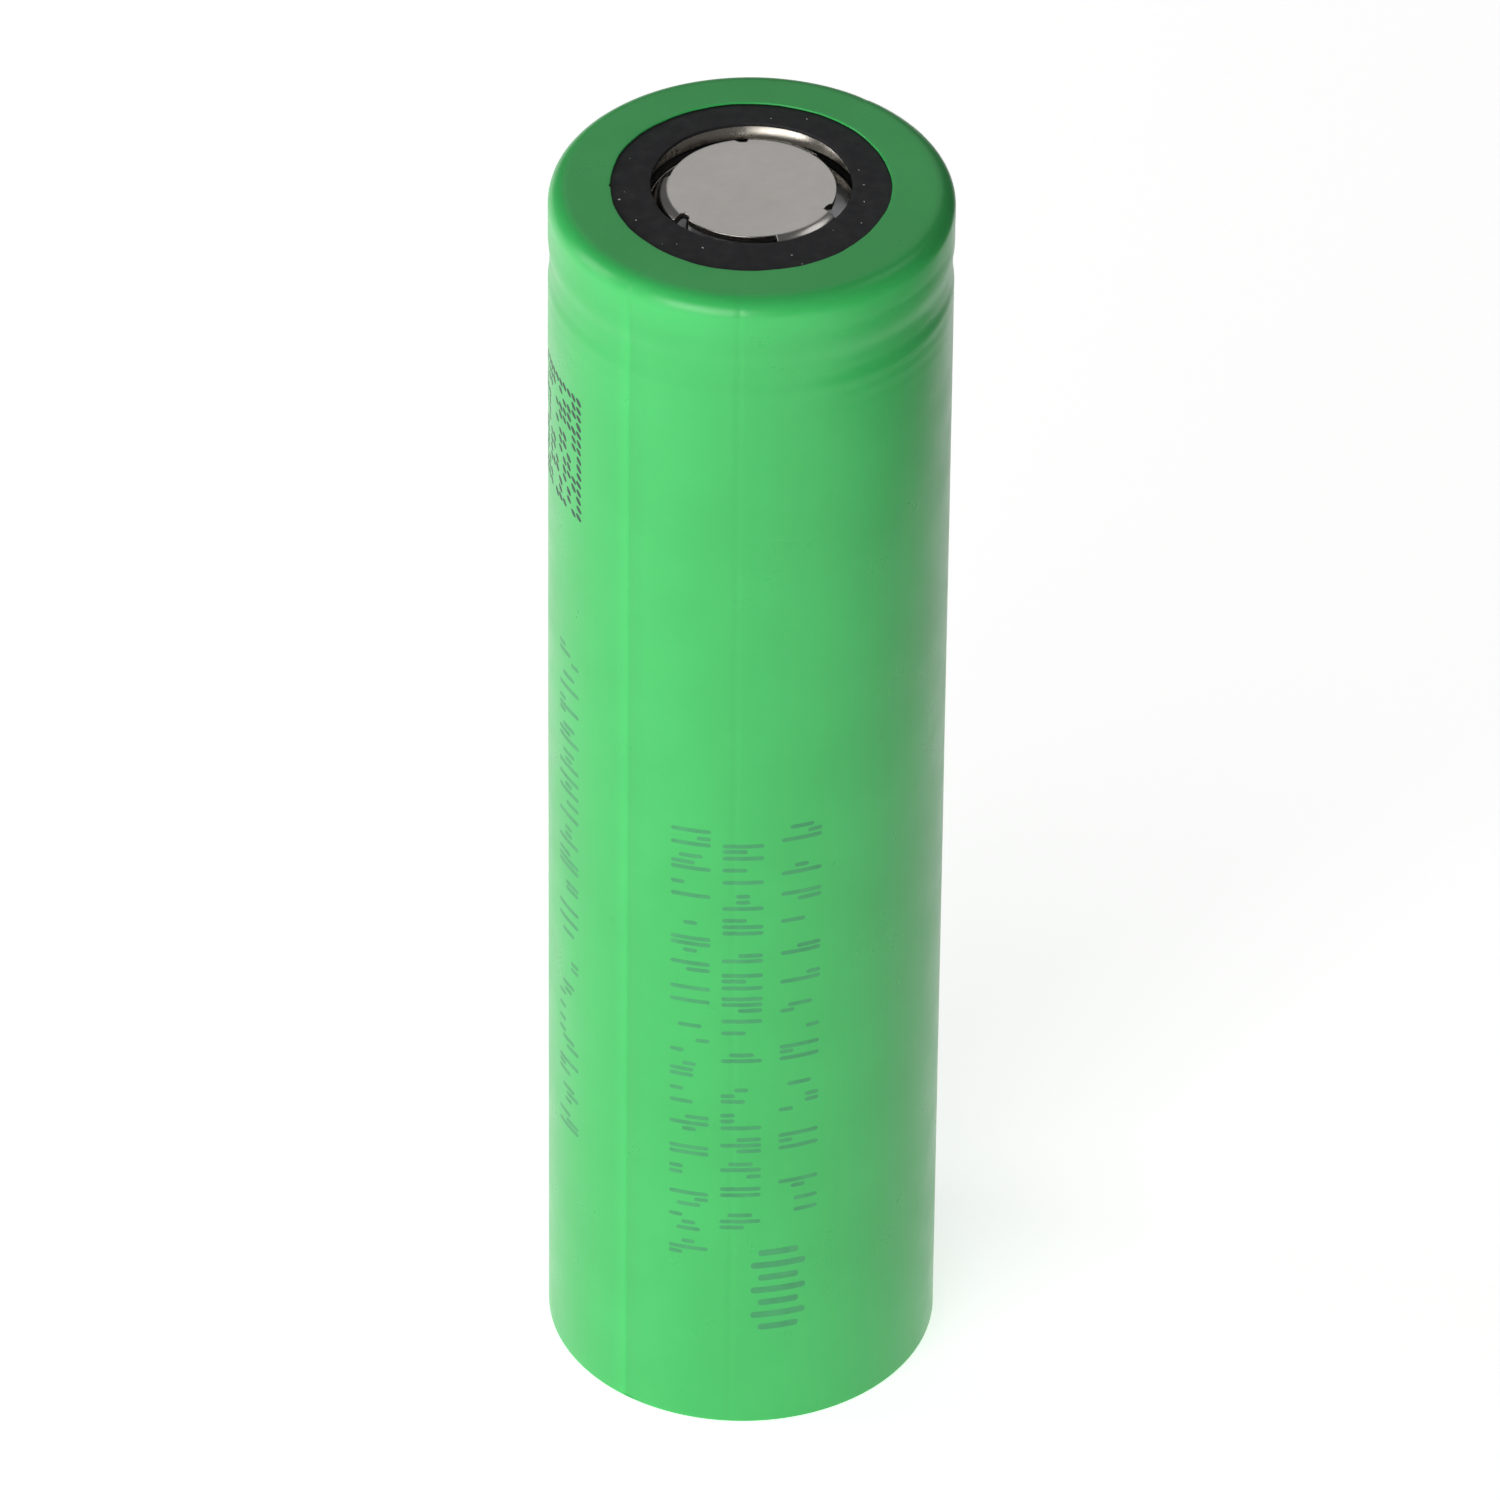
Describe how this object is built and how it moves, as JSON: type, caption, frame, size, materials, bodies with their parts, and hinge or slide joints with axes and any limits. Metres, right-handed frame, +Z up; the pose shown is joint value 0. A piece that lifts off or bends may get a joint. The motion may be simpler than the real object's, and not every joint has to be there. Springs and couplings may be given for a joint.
{
  "type": "cylindrical battery cell",
  "caption": "Cylindrical rechargeable lithium-ion cell in a green shrink sleeve, with a raised positive button, gas windows and a flat negative end.",
  "frame": {"origin": "centre of the flat negative end, at its contact face", "axes": "+Z up the cell's axis to the positive button; -Y is the side seen from the front"},
  "size_m": [0.0184, 0.0184, 0.065],
  "materials": {
    "sleeve_film": "satin",
    "washer_board": "matte",
    "plated_steel": "satin",
    "cap_steel": "satin",
    "gasket_black": "satin",
    "soft_aluminium": "satin",
    "clear_plastic": "satin",
    "plate_aluminium": "satin",
    "weld_aluminium": "matte",
    "tab_aluminium": "satin",
    "amber_tape": "satin",
    "white_disc": "matte",
    "pin_steel": "satin",
    "positive_coating": "matte",
    "negative_coating": "matte",
    "separator_film": "satin",
    "blue_tape": "satin",
    "tab_nickel": "satin"
  },
  "bodies": {
    "cell": {"sleeve": "sleeve_film", "insulator_washer": "washer_board", "can": "plated_steel", "terminal_cap": "cap_steel", "gasket": "gasket_black", "vent_disc": "soft_aluminium", "cid_insulator": "clear_plastic", "cid_plate": "plate_aluminium", "positive_tab": "tab_aluminium", "tab_tape": "amber_tape", "upper_insulator": "white_disc", "centre_pin": "pin_steel", "positive_electrode": "positive_coating", "negative_electrode": "negative_coating", "inner_separator": "separator_film", "outer_separator": "separator_film", "roll_tape": "blue_tape", "negative_tab": "tab_nickel", "lower_insulator": "white_disc"},
    "cid_centre": {"weld_nugget": "weld_aluminium"}
  },
  "joints": [
    {"name": "cid_snap", "type": "slide", "parent": "cell", "child": "cid_centre", "axis": [0, 0, 1], "range_m": [0, 0.0004], "deforming": ["vent_disc"]}
  ]
}
